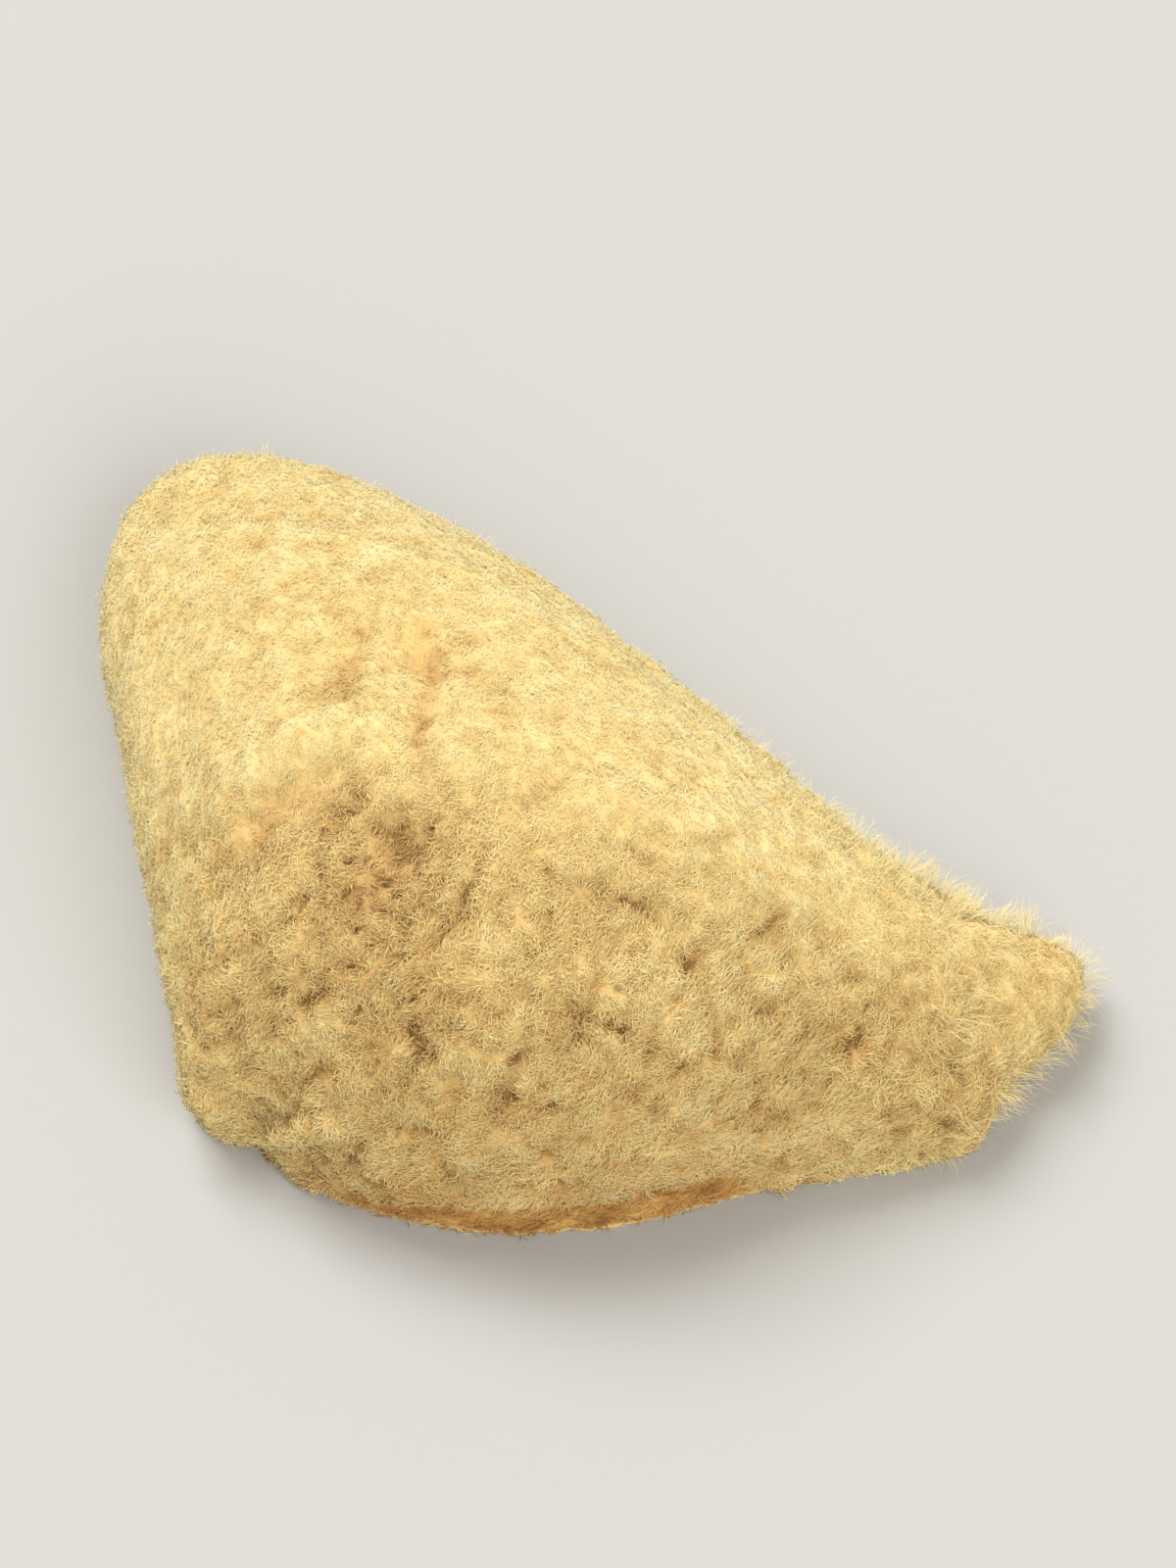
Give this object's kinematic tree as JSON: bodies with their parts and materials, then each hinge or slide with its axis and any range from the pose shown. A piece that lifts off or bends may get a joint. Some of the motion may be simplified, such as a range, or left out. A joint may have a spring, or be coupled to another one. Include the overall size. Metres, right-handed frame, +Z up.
{
  "type": "sea sponge",
  "caption": "Small piece of fine natural bath sponge with a felted, softly pitted rounded face, a pointed fuzzy tip and a flat cut base that it lies on.",
  "frame": {"origin": "bottom centre of the bounding box, on the plane of the flat cut base", "axes": "+X towards the pointed fuzzy tip, +Y towards the round lobe, +Z up from the base to the crown of the felted face"},
  "size_m": [0.0376, 0.0318, 0.0133],
  "materials": {
    "spongin": "dry matte felted fibre, straw yellow with darker pores"
  },
  "bodies": {
    "root": {"sponge": "spongin"}
  },
  "joints": []
}
